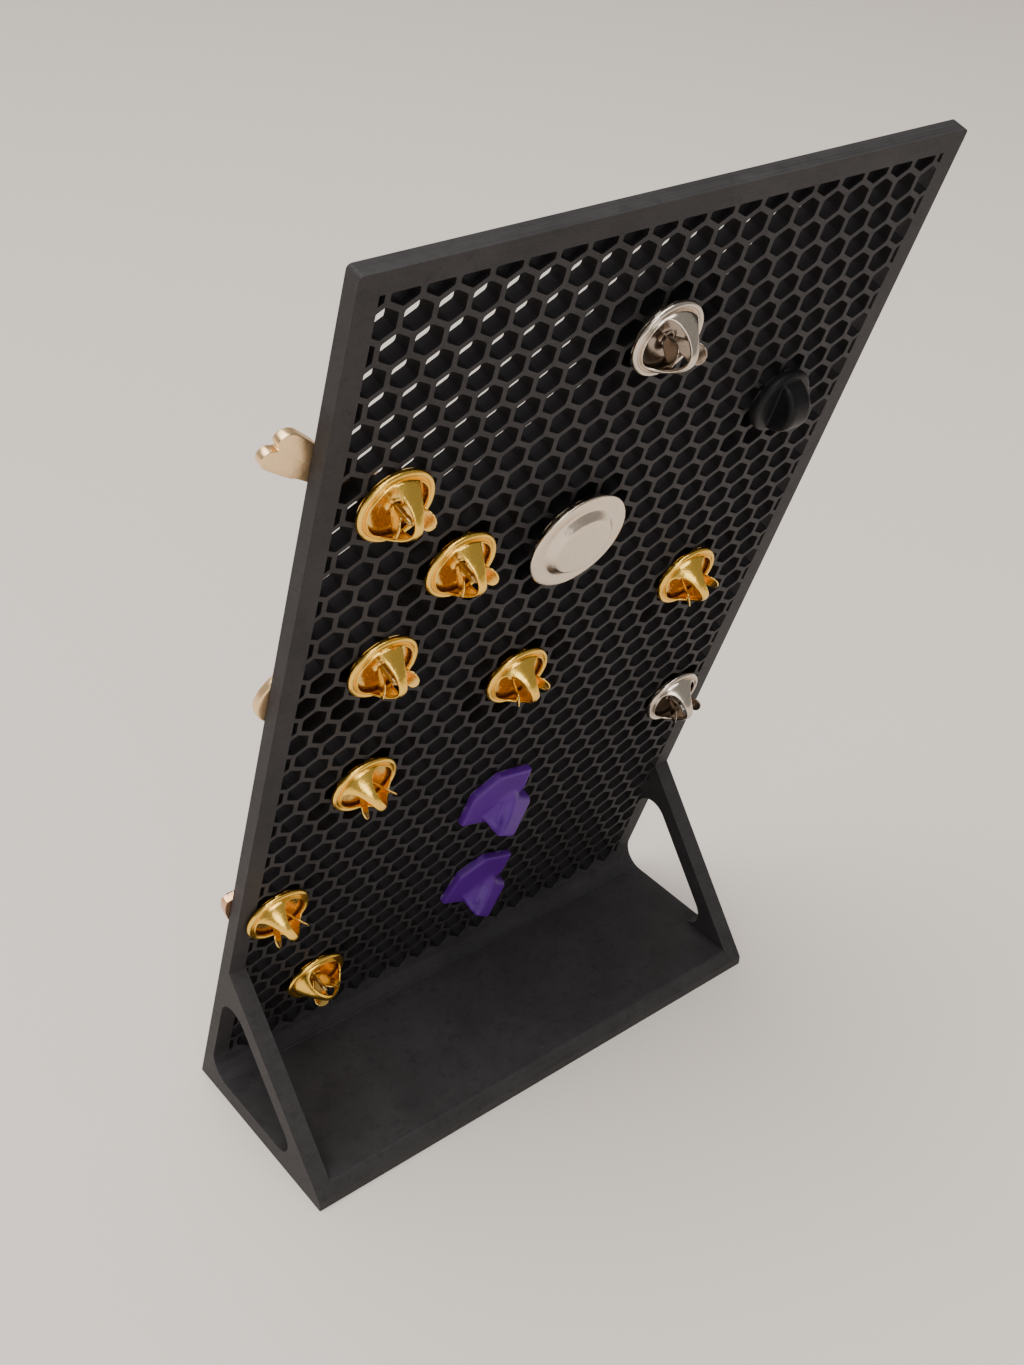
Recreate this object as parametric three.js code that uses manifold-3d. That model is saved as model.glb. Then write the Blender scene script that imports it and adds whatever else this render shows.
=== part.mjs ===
// Pin badge board: a leaning one-piece mesh board on a shallow foot, with pin
// badges pushed through the mesh from the front and held by clutches behind.
// Units are millimetres, +Z is up, the badges face -Y. The origin is the
// centre of the foot's underside.
import * as THREE from 'three';
import { mergeGeometries, mergeVertices } from 'three/addons/utils/BufferGeometryUtils.js';
import Module from 'manifold-3d';

const wasm = await Module();
wasm.setup();

// ---------------------------------------------------------------- dimensions
const WIDTH = 100;            // board, side to side
const HEIGHT = 180;           // board, along the leaning panel
const PANEL_T = 2.5;          // panel thickness
const LEAN = THREE.MathUtils.degToRad(18);
const FOOT_D = 39.8;          // foot, front to back
const FLOOR_T = 4;            // foot floor thickness
const HIP = 38.2;             // where the gussets meet the panel, up its back
const GUSSET_T = 3.2;         // side gusset thickness, and the panel's frame
const FILLET = 4.1;           // panel back to floor
const STRIP = 3.5;            // width of a gusset's sloping strip
const CORNER_R = 0.85;        // panel's top corners

const PITCH = 4.8;            // mesh pitch, across the flats
const CELL = 4.0;             // one cell across its flats
const ROW = PITCH * Math.sqrt(3) / 2;
const ROW0 = 143.58;          // height of mesh row 0 up the panel
const FIELD_X = 46.8;         // mesh field half-width

const GAP = 0.3;              // running gap between pieces that touch
const RIM_R = 5.85;           // butterfly clutch rim
const CLUTCH_H = 6.3;         // butterfly clutch height
const WING_T = 0.35;          // spring wing sheet
const WING_REST = THREE.MathUtils.degToRad(65);
const POST_R = 0.55;
const BADGE_T = 1.4;

const S = Math.sin(LEAN), C = Math.cos(LEAN);

// ------------------------------------------------------------------- helpers
const bare = (g) => {
  g = g.index ? g.toNonIndexed() : g.clone();
  for (const k of Object.keys(g.attributes)) if (k !== 'position') g.deleteAttribute(k);
  return mergeVertices(g, 1e-5);
};
const solid = (g) => {
  const b = bare(g);
  return new wasm.Manifold(new wasm.Mesh({
    numProp: 3,
    vertProperties: Float32Array.from(b.attributes.position.array),
    triVerts: Uint32Array.from(b.index.array),
  }));
};
const geometry = (m) => {
  const q = m.getMesh();
  const g = new THREE.BufferGeometry();
  g.setAttribute('position', new THREE.BufferAttribute(Float32Array.from(q.vertProperties), 3));
  g.setIndex(new THREE.BufferAttribute(Uint32Array.from(q.triVerts), 1));
  g.computeVertexNormals();
  return g;
};
const prism = (pts, depth, opt = {}) => {
  const shape = new THREE.Shape(pts.map((p) => new THREE.Vector2(p[0], p[1])));
  return new THREE.ExtrudeGeometry(shape, { depth, bevelEnabled: false, steps: 1, ...opt });
};
// a closed lathe profile of (radius, height), turned about +Z
const turned = (profile, segments) => {
  const pts = profile.map((p) => new THREE.Vector2(p[0], p[1]));
  if (profile[0][0] > 0 || profile[profile.length - 1][0] > 0) pts.push(pts[0].clone());
  return new THREE.LatheGeometry(pts, segments).rotateX(Math.PI / 2);
};
// round the corners of a polygon; radii per corner
const rounded = (pts, radii, n = 4) => {
  const out = [];
  pts.forEach((p, i) => {
    const r = radii[i];
    if (!r) { out.push(p); return; }
    const a = new THREE.Vector2(...pts[(i + pts.length - 1) % pts.length]);
    const b = new THREE.Vector2(...p);
    const c = new THREE.Vector2(...pts[(i + 1) % pts.length]);
    const u = a.clone().sub(b).normalize(), v = c.clone().sub(b).normalize();
    const half = Math.acos(u.dot(v)) / 2;
    const mid = u.clone().add(v).normalize();
    const centre = b.clone().add(mid.multiplyScalar(r / Math.sin(half)));
    const s = b.clone().add(u.multiplyScalar(r / Math.tan(half)));
    const e = b.clone().add(v.multiplyScalar(r / Math.tan(half)));
    const a0 = Math.atan2(s.y - centre.y, s.x - centre.x);
    let da = Math.atan2(e.y - centre.y, e.x - centre.x) - a0;
    while (da > Math.PI) da -= 2 * Math.PI;
    while (da < -Math.PI) da += 2 * Math.PI;
    for (let k = 0; k <= n; k++) {
      const t = a0 + da * k / n;
      out.push([centre.x + r * Math.cos(t), centre.y + r * Math.sin(t)]);
    }
  });
  return out;
};
// side profile (Y, Z) extruded across X from x0 to x1
const across = (pts, x0, x1) => {
  const g = prism(pts, x1 - x0);
  g.applyMatrix4(new THREE.Matrix4().makeBasis(
    new THREE.Vector3(0, 1, 0), new THREE.Vector3(0, 0, 1), new THREE.Vector3(1, 0, 0)));
  return g.translate(x0, 0, 0);
};

// The back frame: x to the right as seen from behind, y up the panel, z out of
// the panel's back face, 0 at the foot's bottom front edge.
const backMatrix = new THREE.Matrix4().makeBasis(
  new THREE.Vector3(-1, 0, 0), new THREE.Vector3(0, S, C), new THREE.Vector3(0, C, -S));
backMatrix.setPosition(0, PANEL_T * C - FOOT_D / 2, -PANEL_T * S);
const back = new THREE.Group();
back.applyMatrix4(backMatrix);

// ----------------------------------------------------------------- materials
const mat = (color, roughness, metalness) => new THREE.MeshStandardMaterial({ color, roughness, metalness });
const M = {
  board: mat(0x26272a, 0.75, 0),
  gold: mat(0xd9a441, 0.25, 1),
  spring: mat(0xb9771f, 0.3, 1),
  nickel: mat(0xcfcbc6, 0.2, 1),
  magnet: mat(0x8d8f92, 0.3, 1),
  rubber: mat(0x0d0d0f, 0.35, 0),
  purple: mat(0x4b2a86, 0.5, 0),
  rose: mat(0xd9b08a, 0.3, 1),
  copper: mat(0xc07a4c, 0.3, 1),
  steel: mat(0xb4b4b4, 0.35, 1),
};

const root = new THREE.Group();
root.add(back);
const put = (parent, name, geo, material) => {
  const m = new THREE.Mesh(geo, material);
  m.name = name;
  parent.add(m);
  return m;
};

// --------------------------------------------------------------------- board
const cellAt = (j, k) => [j % 2 === 0 ? PITCH * k : PITCH * (k + 0.5), ROW0 + ROW * j];

// every clutch, clip and badge stands on a mesh cell, given as [row, column]
// and the small shift of its post in the cell (back frame, mm); strap is the
// half-width of the cap's strap at its feet, lift how far it stands off the panel
const clutches = [
  { id: 1, cell: [0, -8], shift: [0.25, -0.6], turn: -6, strap: 2.1, lift: 0, metal: 'gold' },
  { id: 2, cell: [-4, -5], shift: [0.15, -0.6], turn: 2, strap: 2.1, lift: 0, metal: 'gold' },
  { id: 3, cell: [-8, -7], shift: [0.15, -0.6], turn: 0, strap: 2.1, lift: 0, metal: 'gold' },
  { id: 4, cell: [-12, -1], shift: [0.25, -0.6], turn: 14, strap: 3.6, lift: 0, metal: 'gold' },
  { id: 5, cell: [-15, -7], shift: [0.1, -0.6], turn: 36, strap: 3.6, lift: 0, metal: 'gold' },
  { id: 6, cell: [-22, -9], shift: [0.5, 0], turn: 32, strap: 2.9, lift: 0, metal: 'gold' },
  { id: 7, cell: [-29, -7], shift: [0.5, -0.4], turn: -106, strap: 3.6, lift: 0, metal: 'gold' },
  { id: 8, cell: [-10, 6], shift: [-0.35, -0.35], turn: 24, strap: 3.6, lift: 0, metal: 'gold' },
  { id: 9, cell: [4, 0], shift: [0.15, -0.6], turn: -12, strap: 2.9, lift: 1.5, metal: 'nickel' },
  { id: 10, cell: [-19, 8], shift: [-0.45, -0.35], turn: 7, strap: 3.6, lift: 0, metal: 'nickel' },
];
const rubberAt = { cell: [-1, 6], shift: [0.6, -0.8] };
const clips = [
  { id: 1, cell: [-20, 0], centre: [0.25, 58.6], turn: 34 },
  { id: 2, cell: [-27, 0], centre: [3.2, 31.1], turn: 25 },
];
const magnetAt = [-3.2, 123.9];
const place = (o) => { const c = cellAt(...o.cell); return [c[0] + o.shift[0], c[1] + o.shift[1]]; };

const y0 = -FOOT_D / 2;
const backLine = (u) => [y0 + u * S + PANEL_T * C, u * C - PANEL_T * S];
const hip = backLine(HIP);
const topBack = backLine(HEIGHT);
const topFront = [y0 + HEIGHT * S, HEIGHT * C];
const toeTop = [y0 + 39.4, 2.5];
const toe = [y0 + FOOT_D, 1.9];
const slopeAt = (z) => [toeTop[0] + (hip[0] - toeTop[0]) * (z - toeTop[1]) / (hip[1] - toeTop[1]), z];
const heelU = (FLOOR_T + PANEL_T * S) / C;     // panel back meets the floor's top
const heel = backLine(heelU);

// the panel and floor, full width, with the fillet between them
const wall = rounded([
  [y0, 0], topFront, topBack, heel, slopeAt(FLOOR_T), toeTop, toe, [y0 + FOOT_D, 0],
].reverse(), [0, 0, 0, 0, FILLET, 0, 0, 0], 5);
let board = solid(across(wall, -WIDTH / 2, WIDTH / 2));

// the two side gussets, each with its rounded three-cornered hole
const gusset = [[y0 + 1, 1], backLine(HIP - 0.01), hip, slopeAt(FLOOR_T), toeTop, [y0 + 38.7, 1]].reverse();
const along = new THREE.Vector2(toeTop[0] - hip[0], toeTop[1] - hip[1]).normalize();
const outward = new THREE.Vector2(-along.y, along.x);
const inner = (p) => [p[0] - outward.x * STRIP, p[1] - outward.y * STRIP];
const cross2 = (p, d, q, e) => {
  const k = ((q[0] - p[0]) * e.y - (q[1] - p[1]) * e.x) / (d.x * e.y - d.y * e.x);
  return [p[0] + d.x * k, p[1] + d.y * k];
};
const holeTop = cross2(inner(hip), along, heel, new THREE.Vector2(S, C));
const holeBack = cross2(inner(hip), along, [0, FLOOR_T], new THREE.Vector2(1, 0));
const hole = rounded([heel, holeBack, holeTop], [FILLET, 3.6, 4.15], 6);
const plate = solid(across(gusset, 0, GUSSET_T)).subtract(solid(across(hole, -5, 10)));
board = board
  .add(plate.translate([-WIDTH / 2, 0, 0]))
  .add(plate.translate([WIDTH / 2 - GUSSET_T, 0, 0]));

// the panel's rounded top corners
const corner = (sx) => {
  const x = sx * WIDTH / 2, r = CORNER_R, n = 3, pts = [[x + sx * 3, HEIGHT - r], [x + sx * 3, HEIGHT + 3], [x - sx * r, HEIGHT + 3]];
  for (let k = 0; k <= n; k++) {
    const t = Math.PI / 2 * (1 - k / n);
    pts.push([x - sx * r + sx * r * Math.cos(t), HEIGHT - r + r * Math.sin(t)]);
  }
  const g = prism(sx > 0 ? pts : pts.reverse(), 20).translate(0, 0, -12);
  return g.applyMatrix4(backMatrix);
};
board = board.subtract(solid(corner(1))).subtract(solid(corner(-1)));

// mesh cells, pointed up the panel, through the panel along its normal
const holder = [...clutches.map((c) => c.cell), rubberAt.cell, ...clips.map((c) => c.cell)];
const wanted = new Map();
for (const [j0, k0] of holder) {
  const [cx, cy] = cellAt(j0, k0);
  for (let j = j0 - 1; j <= j0 + 1; j++) for (let k = -10; k <= 10; k++) {
    const [x, y] = cellAt(j, k);
    if (Math.abs(x) + CELL / 2 > FIELD_X || Math.hypot(x - cx, y - cy) > PITCH * 1.05) continue;
    wanted.set(`${j},${k}`, [x, y]);
  }
}
const cells = [];
for (const [x, y] of wanted.values()) {
  const g = new THREE.CylinderGeometry(CELL / Math.sqrt(3), CELL / Math.sqrt(3), PANEL_T + 4, 6);
  g.rotateX(Math.PI / 2);            // axis along the normal, points up the panel
  g.translate(x, y, (PANEL_T + 4) / 2 - PANEL_T - 1);
  cells.push(bare(g));
}
const field = mergeGeometries(cells, false).applyMatrix4(backMatrix);
board = board.subtract(solid(field));
put(root, 'board', geometry(board), M.board);

// --------------------------------------------------------- butterfly clutches
// Local frame: axis +Z out of the panel, wings along +X and -X.
const capProfile = [
  [0.9, GAP], [RIM_R, GAP], [RIM_R, 1.1], [5.3, 1.4], [4.75, 1.3], [4.45, 2.1], [3.3, 4], [1.6, 5.6], [0, CLUTCH_H],
  [0, 5.85], [1.4, 5.2], [2.95, 3.75], [4.05, 1.95], [4.3, 0.7], [0.9, 0.7],
];
// the strap left between the two openings narrows towards the apex
const strapTop = [[1.35, 3.6], [1.05, 4.3], [0.85, 5], [0.7, 5.6], [0.65, 7.5]];
const openingGeo = (side, foot) => {
  const strap = [[foot, 1.5], [foot * 0.4 + 1.15, 2.1], [foot * 0.2 + 1.3, 2.8], ...strapTop];
  const pts = [...strap.map((p) => [side * p[0], p[1]]), [side * 7, 7.5], [side * 7, 1.5]];
  const g = prism(side > 0 ? pts.reverse() : pts, 14);
  g.rotateX(Math.PI / 2);            // (x, z) profile, cut across y
  return g.translate(0, 7, 0);
};
const capGeo = {};
for (const foot of [2.1, 2.9, 3.6]) {
  capGeo[foot] = geometry(solid(turned(capProfile, 16))
    .subtract(solid(openingGeo(1, foot))).subtract(solid(openingGeo(-1, foot))));
}

// one spring wing, lying along +X from its root, before it is turned up
const tongue = [[0, -0.7], [1.4, -0.95], [2.3, -1.5], [3.3, -1.65], [4.2, -1.15], [4.6, 0],
  [4.2, 1.15], [3.3, 1.65], [2.3, 1.5], [1.4, 0.95], [0, 0.7]];
const wingGeo = geometry(solid(prism(tongue, WING_T).translate(0, 0, -WING_T / 2)));
const WING_X = 1.1, WING_Z = 1.3;

for (const c of clutches) {
  const g = new THREE.Group();
  g.position.set(...place(c), c.lift);
  g.rotation.z = THREE.MathUtils.degToRad(c.turn);
  back.add(g);
  put(g, `clutch_${c.id}_cap`, capGeo[c.strap].clone(), M[c.metal]);
  for (const [tag, side] of [['right', 1], ['left', -1]]) {
    const hingeGroup = new THREE.Group();
    hingeGroup.position.set(side * WING_X, 0, WING_Z);
    hingeGroup.rotation.set(0, -WING_REST, 0);
    if (side < 0) hingeGroup.rotation.set(0, WING_REST, Math.PI, 'YXZ');
    g.add(hingeGroup);
    put(hingeGroup, `clutch_${c.id}_wing_${tag}`, wingGeo.clone(), c.metal === 'gold' ? M.spring : M.nickel);
  }
}

// -------------------------------------------------------------- rubber clutch
{
  const g = new THREE.Group();
  g.position.set(...place(rubberAt), 0);
  back.add(g);
  const disc = solid(turned([[0.9, 0.5], [4.9, 0.5], [5.35, 0.9], [5.4, 1.8], [5, 2.3], [0.9, 2.5]], 18));
  const grip = [[4.15, 1], [4.15, 2]];
  for (let k = 1; k < 12; k++) grip.push([4.15 * Math.cos(Math.PI * k / 12), 2 + 4.15 * Math.sin(Math.PI * k / 12)]);
  grip.push([-4.15, 2], [-4.15, 1]);
  const fin = prism(grip, 4.2).rotateX(Math.PI / 2).rotateZ(Math.PI / 2).translate(-2.1, 0, 0);
  const bore = new THREE.CylinderGeometry(0.9, 0.9, 4.8, 8).rotateX(Math.PI / 2).translate(0, 0, 2.4);
  put(g, 'rubber_clutch', geometry(disc.add(solid(fin)).subtract(solid(bore))), M.rubber);
}

// -------------------------------------------------------------- magnetic back
{
  const g = new THREE.Group();
  g.position.set(...magnetAt, 0);
  back.add(g);
  // the magnet sits inside the cover's raised middle
  put(g, 'magnet', turned([[0, GAP], [4.4, GAP], [4.4, 2.95], [0, 2.95]], 20), M.magnet);
  put(g, 'magnet_cover', turned([
    [6.7, 0.9], [7.1, 0.9], [7.3, 1.9], [8.3, 1.9], [8.5, 2.2], [8.3, 2.5], [6.2, 2.5], [4.9, 3.65], [0, 3.65], [0, 3.25], [4.75, 3.25], [6.1, 1.95], [6.7, 1.9],
  ], 24), M.nickel);
}

// ---------------------------------------------------------------- mesh clips
for (const c of clips) {
  const g = new THREE.Group();
  g.position.set(...c.centre, 0);
  g.rotation.z = THREE.MathUtils.degToRad(c.turn);
  back.add(g);
  // local x along the clip's long side, y towards its thin edge
  const base = [[-4.6, -4.4], [4.6, -4.4], [7.75, 0], [2.9, 5.5], [-2.9, 5.5], [-7.75, 0]];
  const flange = solid(prism(base, 1.5).translate(0, 0, GAP));
  const grip = [[-4.5, GAP], [4.6, GAP], [4.6, 2.0], [4.2, 2.7], [3.5, 3.1], [-2.9, 6.0], [-3.8, 6.1], [-4.3, 5.7]];
  const fin = solid(prism(grip, 4.3).rotateX(Math.PI / 2).translate(0, -4.1, 0));
  const [px, py] = cellAt(...c.cell);
  const d = new THREE.Vector2(px - c.centre[0], py - c.centre[1]).rotateAround(new THREE.Vector2(), -g.rotation.z);
  const peg = solid(new THREE.CylinderGeometry(1.5, 1.5, PANEL_T + 1, 10).rotateX(Math.PI / 2)
    .translate(d.x, d.y, (PANEL_T + 1) / 2 - PANEL_T));
  put(g, `mesh_clip_${c.id}`, geometry(flange.add(fin).add(peg)), M.purple);
}

// --------------------------------------------------------------------- badges
const ellipse = (cx, cy, rx, ry, n, tilt = 0) => Array.from({ length: n }, (_, i) => {
  const t = 2 * Math.PI * (i + 0.5) / n, x = rx * Math.cos(t), y = ry * Math.sin(t);
  return [cx + x * Math.cos(tilt) - y * Math.sin(tilt), cy + x * Math.sin(tilt) + y * Math.cos(tilt)];
});
const ngon = (r, n, turn = 0) => Array.from({ length: n }, (_, i) => {
  const t = 2 * Math.PI * i / n + turn; return [r * Math.cos(t), r * Math.sin(t)];
});
const star = (n, r1, r2) => Array.from({ length: 2 * n }, (_, i) => {
  const t = Math.PI * i / n + Math.PI / 2, r = i % 2 ? r2 : r1; return [r * Math.cos(t), r * Math.sin(t)];
});
// a bone about its post, long way along x: two lobes at each end
const BONE = [[19.3, 3.75], [20.6, 3.65], [21.4, 3], [21.6, 2.2], [21.2, 1.4], [20.1, 0.85], [20.9, 0.3], [21.1, -0.5],
  [20.6, -1.4], [19.6, -1.9], [18.2, -1.9], [15.5, -1.7], [12.5, -1.25], [-1.5, -1.25], [-4.5, -1.7], [-7.5, -1.9], [-8.9, -1.4], [-9.4, -0.5],
  [-9.2, 0.3], [-8.5, 0.85], [-9.2, 1.4], [-9.6, 2.2], [-9.4, 3], [-8.6, 3.65], [-7.4, 3.75], [-4.5, 3.6], [-1.5, 3.2], [12.5, 3.2], [15.5, 3.6]];
const SHIELD = [[-8.0, 3.6], [-7.8, 4.4], [-7.1, 4.8], [0, 5.4], [7.1, 4.8], [7.8, 4.4], [8.0, 3.6], [7.8, 1.8], [7.3, 0.1], [6.7, -1.4],
  [5.0, -4.6], [2.6, -7.4], [0, -9.2], [-2.6, -7.4], [-5.0, -4.6], [-6.7, -1.4], [-7.3, 0.1], [-7.8, 1.8]];
const turn2 = (pts, a, dx = 0, dy = 0) => pts.map(([x, y]) => [
  x * Math.cos(a) - y * Math.sin(a) + dx, x * Math.sin(a) + y * Math.cos(a) + dy]);
const rad = THREE.MathUtils.degToRad;

// outline in the back frame about the badge's own post
const badges = [
  { at: place(clutches[0]), m: 'rose', pts: turn2(BONE, rad(142.2), -0.15, 0.4) },
  { at: place(clutches[1]), m: 'gold', pts: ellipse(0, 0, 8.6, 8.6, 20) },
  { at: place(clutches[2]), m: 'rose', pts: ellipse(-5.65, -3.4, 12.5, 7.6, 24) },
  { at: place(clutches[3]), m: 'gold', pts: ellipse(0, 0, 9.8, 9.8, 20) },
  { at: place(clutches[4]), m: 'gold', pts: ngon(9.2, 6, Math.PI / 6) },
  { at: place(clutches[5]), m: 'copper', pts: turn2(SHIELD, 0, -0.4, 0.2) },
  { at: place(clutches[6]), m: 'gold', pts: rounded([[-8, -6], [8, -6], [8, 6], [-8, 6]], [2, 2, 2, 2], 3) },
  { at: place(clutches[7]), m: 'gold', pts: star(5, 10.5, 5.6) },
  { at: place(clutches[8]), m: 'steel', pts: ellipse(0, 0, 11, 7, 20) },
  { at: place(clutches[9]), m: 'steel', pts: ellipse(0, 0, 8.2, 8.2, 20) },
  { at: place(rubberAt), m: 'steel', pts: rounded([[-9, -7], [9, -7], [0, 9.5]], [2.5, 2.5, 2.5], 4) },
  { at: magnetAt, m: 'steel', pts: ellipse(0, 0, 10.6, 10.6, 24), noPost: true },
];
// post: soldered pad inside the cell, then the shaft with its sharp tip
const postGeo = turned([[0, -PANEL_T], [1, -PANEL_T], [1, -PANEL_T + 0.35], [POST_R, -PANEL_T + 0.55],
  [POST_R, 3.6], [0, 4.6]], 8);
const thinPostGeo = turned([[0, -PANEL_T], [POST_R, -PANEL_T], [POST_R, 3.6], [0, 4.4]], 8);
badges.forEach((b, i) => {
  const g = new THREE.Group();
  g.position.set(...b.at, 0);
  back.add(g);
  const area = b.pts.reduce((s, p, k) => { const q = b.pts[(k + 1) % b.pts.length]; return s + p[0] * q[1] - q[0] * p[1]; }, 0);
  const pts = area > 0 ? b.pts : [...b.pts].reverse();
  put(g, `badge_${i + 1}`, prism(pts, BADGE_T).translate(0, 0, -PANEL_T - GAP - BADGE_T), M[b.m]);
  if (!b.noPost) put(g, `badge_${i + 1}_post`, (i === 10 ? thinPostGeo : postGeo).clone(), M.steel);
});

export default root;
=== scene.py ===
import math
import random

import bmesh
import bpy
import numpy as np
from mathutils import Matrix, Vector, noise


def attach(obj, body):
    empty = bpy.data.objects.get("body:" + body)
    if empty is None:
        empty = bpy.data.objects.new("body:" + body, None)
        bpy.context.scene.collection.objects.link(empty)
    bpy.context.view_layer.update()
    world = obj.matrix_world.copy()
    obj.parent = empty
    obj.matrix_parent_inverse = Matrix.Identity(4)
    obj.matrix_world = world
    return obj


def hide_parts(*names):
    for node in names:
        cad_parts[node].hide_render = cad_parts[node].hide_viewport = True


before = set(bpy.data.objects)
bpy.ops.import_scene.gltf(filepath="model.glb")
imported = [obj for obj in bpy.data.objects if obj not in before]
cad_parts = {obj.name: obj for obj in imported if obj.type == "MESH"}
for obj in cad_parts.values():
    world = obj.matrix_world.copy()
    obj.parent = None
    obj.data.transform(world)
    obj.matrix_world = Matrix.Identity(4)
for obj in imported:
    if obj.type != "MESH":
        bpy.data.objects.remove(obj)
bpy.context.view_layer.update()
random.seed(7)

# ------------------------------------------------------------------ dimensions (mm)
W, H, T = 100.0, 180.0, 2.5
LEAN = math.radians(18)
S, C = math.sin(LEAN), math.cos(LEAN)
FOOT, FLOOR = 39.8, 4.0
Y0 = -FOOT / 2
HIP = 38.2
GUSSET, FILLET, STRIP = 3.2, 4.1, 3.5
PITCH, CELL = 4.8, 4.0
ROW = PITCH * math.sqrt(3) / 2
ROW0 = 143.58
FIELD_X, FIELD_TOP = 46.8, 176.8
LOWEST_ROW = -32
CELL_R = 0.62                         # the printed cells' rounded corners

MM = Matrix.Scale(0.001, 4)
# back frame (x right seen from behind, y up the panel, z out of its back) to the row frame, in mm
BACK = Matrix(((-1, 0, 0, 0), (0, S, C, T * C - FOOT / 2), (0, C, -S, -T * S), (0, 0, 0, 1)))


def back_line(u):
    return (Y0 + u * S + T * C, u * C - T * S)


# ------------------------------------------------------------------ small tools
def obj_from(name, bm, mat, matrix=None, smooth=False):
    me = bpy.data.meshes.new(name)
    bm.to_mesh(me)
    bm.free()
    me.name = name
    o = bpy.data.objects.new(name, me)
    bpy.context.scene.collection.objects.link(o)
    o.matrix_world = MM @ (matrix or Matrix.Identity(4))
    if mat:
        for m in (mat if isinstance(mat, (list, tuple)) else [mat]):
            me.materials.append(m)
    if smooth:
        me.polygons.foreach_set("use_smooth", [True] * len(me.polygons))
    return o


def apply_all(o):
    """Bakes the modifiers into the mesh."""
    dg = bpy.context.evaluated_depsgraph_get()
    me = bpy.data.meshes.new_from_object(o.evaluated_get(dg), depsgraph=dg)
    old = o.data
    o.modifiers.clear()
    o.data = me
    me.name = o.name
    bpy.data.meshes.remove(old)
    return o


def boolean(o, other, how):
    m = o.modifiers.new("b", "BOOLEAN")
    m.operation = how
    m.object = other
    m.solver = "MANIFOLD"
    bpy.context.view_layer.update()
    apply_all(o)
    bpy.data.objects.remove(other, do_unlink=True)
    return o


def bevel(o, width, segments=2, angle=30, apply=True):
    m = o.modifiers.new("bevel", "BEVEL")
    m.width = width
    m.segments = segments
    m.limit_method = "ANGLE"
    m.angle_limit = math.radians(angle)
    m.use_clamp_overlap = True
    m.harden_normals = False
    if apply:
        bpy.context.view_layer.update()
        apply_all(o)
    return o


def smooth_by_angle(o, deg=35):
    me = o.data
    me.polygons.foreach_set("use_smooth", [True] * len(me.polygons))
    me.set_sharp_from_angle(angle=math.radians(deg))
    return o


def prism_bm(pts, z0, z1, bm=None):
    """Closed prism on a polygon of (x, y), from z0 to z1."""
    bm = bm or bmesh.new()
    area = sum(p[0] * q[1] - q[0] * p[1] for p, q in zip(pts, list(pts[1:]) + [pts[0]]))
    if area < 0:
        pts = list(pts)[::-1]
    a = [bm.verts.new((p[0], p[1], z0)) for p in pts]
    b = [bm.verts.new((p[0], p[1], z1)) for p in pts]
    bm.faces.new(a[::-1])
    bm.faces.new(b)
    n = len(pts)
    for i in range(n):
        j = (i + 1) % n
        bm.faces.new((a[i], a[j], b[j], b[i]))
    return bm


def across_bm(pts, x0, x1):
    """(Y, Z) polygon extruded across X."""
    bm = prism_bm(pts, x0, x1)
    bm.transform(Matrix(((0, 0, 1, 0), (1, 0, 0, 0), (0, 1, 0, 0), (0, 0, 0, 1))))
    return bm


def lathe_bm(profile, n, closed=True, bm=None):
    """Turned about Z. profile of (r, z); points on the axis become poles."""
    bm = bm or bmesh.new()
    rows = []
    for r, z in profile:
        if r < 1e-6:
            rows.append([bm.verts.new((0, 0, z))])
        else:
            rows.append([bm.verts.new((r * math.cos(2 * math.pi * i / n), r * math.sin(2 * math.pi * i / n), z)) for i in range(n)])
    pairs = list(zip(rows[:-1], rows[1:]))
    if closed:
        pairs.append((rows[-1], rows[0]))
    for a, b in pairs:
        if len(a) == 1 and len(b) == 1:
            continue
        for i in range(n):
            j = (i + 1) % n
            if len(a) == 1:
                bm.faces.new((a[0], b[j], b[i]))
            elif len(b) == 1:
                bm.faces.new((a[i], a[j], b[0]))
            else:
                bm.faces.new((a[i], a[j], b[j], b[i]))
    bmesh.ops.recalc_face_normals(bm, faces=bm.faces)
    return bm


def arc_corners(pts, radii, n=8):
    out = []
    for i, (p, r) in enumerate(zip(pts, radii)):
        if not r:
            out.append(tuple(p))
            continue
        b = Vector(p)
        u = (Vector(pts[i - 1]) - b).normalized()
        v = (Vector(pts[(i + 1) % len(pts)]) - b).normalized()
        half = math.acos(max(-1, min(1, u.dot(v)))) / 2
        c = b + (u + v).normalized() * (r / math.sin(half))
        s, e = b + u * (r / math.tan(half)), b + v * (r / math.tan(half))
        a0 = math.atan2(s.y - c.y, s.x - c.x)
        da = math.atan2(e.y - c.y, e.x - c.x) - a0
        da = (da + math.pi) % (2 * math.pi) - math.pi
        out += [(c.x + r * math.cos(a0 + da * k / n), c.y + r * math.sin(a0 + da * k / n)) for k in range(n + 1)]
    return out


# ------------------------------------------------------------------ materials
def new_mat(name):
    m = bpy.data.materials.new(name)
    m.use_nodes = True
    nt = m.node_tree
    nt.nodes.clear()
    out = nt.nodes.new("ShaderNodeOutputMaterial")
    bsdf = nt.nodes.new("ShaderNodeBsdfPrincipled")
    nt.links.new(bsdf.outputs[0], out.inputs[0])
    return m, nt, bsdf


def node(nt, kind, **kw):
    n = nt.nodes.new(kind)
    for k, v in kw.items():
        if k.startswith("in_"):
            key = k[3:]
            n.inputs[int(key) if key.isdigit() else key.replace("_", " ")].default_value = v
        else:
            setattr(n, k, v)
    return n


def mapped(nt, scale, kind="Object", rot=(0, 0, 0)):
    tc = node(nt, "ShaderNodeTexCoord")
    mp = node(nt, "ShaderNodeMapping")
    mp.inputs["Scale"].default_value = scale
    mp.inputs["Rotation"].default_value = rot
    nt.links.new(tc.outputs[kind], mp.inputs["Vector"])
    return mp.outputs[0]


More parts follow.
